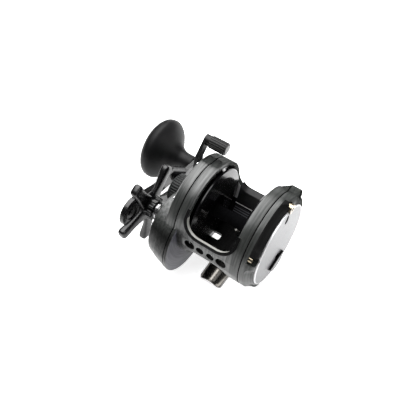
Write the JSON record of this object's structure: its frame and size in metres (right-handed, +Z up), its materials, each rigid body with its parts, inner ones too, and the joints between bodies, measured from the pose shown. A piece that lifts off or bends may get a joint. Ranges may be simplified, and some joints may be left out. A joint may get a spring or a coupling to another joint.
{
  "type": "trolling reel",
  "caption": "Star-drag trolling reel: open one-piece frame, geared crank with mushroom knob, star wheel, free-spool lever, clicker and a saddle foot.",
  "frame": {"origin": "centre of the rod seat under the reel foot, midway along the foot", "axes": "+X along the spool axis towards the handle, +Y along the rod towards its tip, +Z up from the rod"},
  "size_m": [0.1469, 0.1191, 0.099],
  "materials": {
    "gunmetal": "satin brushed",
    "rubber": "matt",
    "black_satin": "satin",
    "steel": "satin",
    "silver": "fine satin",
    "golden_steel": "satin",
    "black_plastic": "gloss",
    "brass": "machined",
    "black_gloss": "gloss",
    "nylon": "matt",
    "carbon": "woven",
    "chrome": "polished"
  },
  "bodies": {
    "reel_body": {"frame": "gunmetal", "thumb_rest": "rubber", "bridge_plate": "black_satin", "bridge_screws": "steel", "palm_side_plate": "gunmetal", "palm_face_disc": "silver", "palm_screws": "golden_steel", "takedown_screw": "golden_steel", "oval_plug": "black_plastic", "palm_bearing": "steel", "frame_bearing": "steel", "cap_bearing": "steel", "handle_side_plate": "gunmetal", "housing_cover": "gunmetal", "handle_plate_screws": "steel", "cover_screws": "steel", "yoke_posts": "steel", "yoke_springs": "steel", "drive_bush": "brass", "one_way_clutch": "steel", "clutch_rollers": "steel", "reel_foot": "chrome", "foot_screws": "steel"},
    "clicker": {"clicker_button": "black_plastic", "click_pawl": "steel"},
    "spool": {"spool": "black_gloss", "spool_shaft": "steel", "spool_pin": "steel", "click_gear": "brass"},
    "pinion": {"pinion": "brass"},
    "yoke": {"pinion_yoke": "steel"},
    "lever": {"freespool_lever": "black_satin", "clutch_cam": "steel", "cam_pin": "steel", "roller_screw": "steel"},
    "roller": {"lever_roller": "rubber"},
    "drive": {"drive_shaft": "steel", "drive_gear": "brass", "drag_friction_washers": "carbon", "drag_steel_washers": "steel", "pressure_plate": "steel", "drive_sleeve": "steel", "spring_washers": "steel", "handle_arm": "black_satin", "handle_nut": "steel", "nut_lock_screw": "steel", "knob_pin": "steel"},
    "star": {"star_wheel": "black_satin"},
    "knob": {"knob": "rubber", "knob_bushes": "brass", "knob_cap": "black_plastic"},
    "cap": {"tension_cap": "black_satin", "tension_pad": "nylon"}
  },
  "joints": [
    {"name": "handle_crank", "type": "hinge", "parent": "reel_body", "child": "drive", "pos_m": [0.06, 0.01986, 0.04557], "axis": [1, 0, 0], "continuous": true},
    {"name": "star_drag", "type": "hinge", "parent": "drive", "child": "star", "pos_m": [0.064, 0.01986, 0.04557], "axis": [1, 0, 0], "range_deg": [-120, 60]},
    {"name": "knob_spin", "type": "hinge", "parent": "drive", "child": "knob", "pos_m": [0.085, -0.03904, 0.03412], "axis": [1, 0, 0], "continuous": true},
    {"name": "spool_spin", "type": "hinge", "parent": "reel_body", "child": "spool", "pos_m": [0, 0, 0.0555], "axis": [1, 0, 0], "continuous": true},
    {"name": "freespool_lever", "type": "hinge", "parent": "reel_body", "child": "lever", "pos_m": [0.039, 0, 0.0555], "axis": [-1, 0, 0], "range_deg": [0, 35]},
    {"name": "roller_spin", "type": "hinge", "parent": "lever", "child": "roller", "pos_m": [0.03, -0.02202, 0.09871], "axis": [1, 0, 0], "continuous": true},
    {"name": "yoke_slide", "type": "slide", "parent": "reel_body", "child": "yoke", "axis": [1, 0, 0], "range_m": [0, 0.0024], "deforming": ["yoke_springs"]},
    {"name": "pinion_spin", "type": "hinge", "parent": "yoke", "child": "pinion", "pos_m": [0.032, 0, 0.0555], "axis": [1, 0, 0], "continuous": true},
    {"name": "clicker_slide", "type": "slide", "parent": "reel_body", "child": "clicker", "axis": [0, 0, 1], "range_m": [0, 0.005]},
    {"name": "tension_cap", "type": "hinge", "parent": "reel_body", "child": "cap", "pos_m": [0.049, 0, 0.0555], "axis": [1, 0, 0], "range_deg": [-90, 90]}
  ],
  "couplings": [
    {"joint": "spool_spin", "follows": "handle_crank", "ratio": -5.1667},
    {"joint": "pinion_spin", "follows": "handle_crank", "ratio": -5.1667},
    {"joint": "yoke_slide", "follows": "freespool_lever", "m_per_rad": 0.0039285}
  ]
}
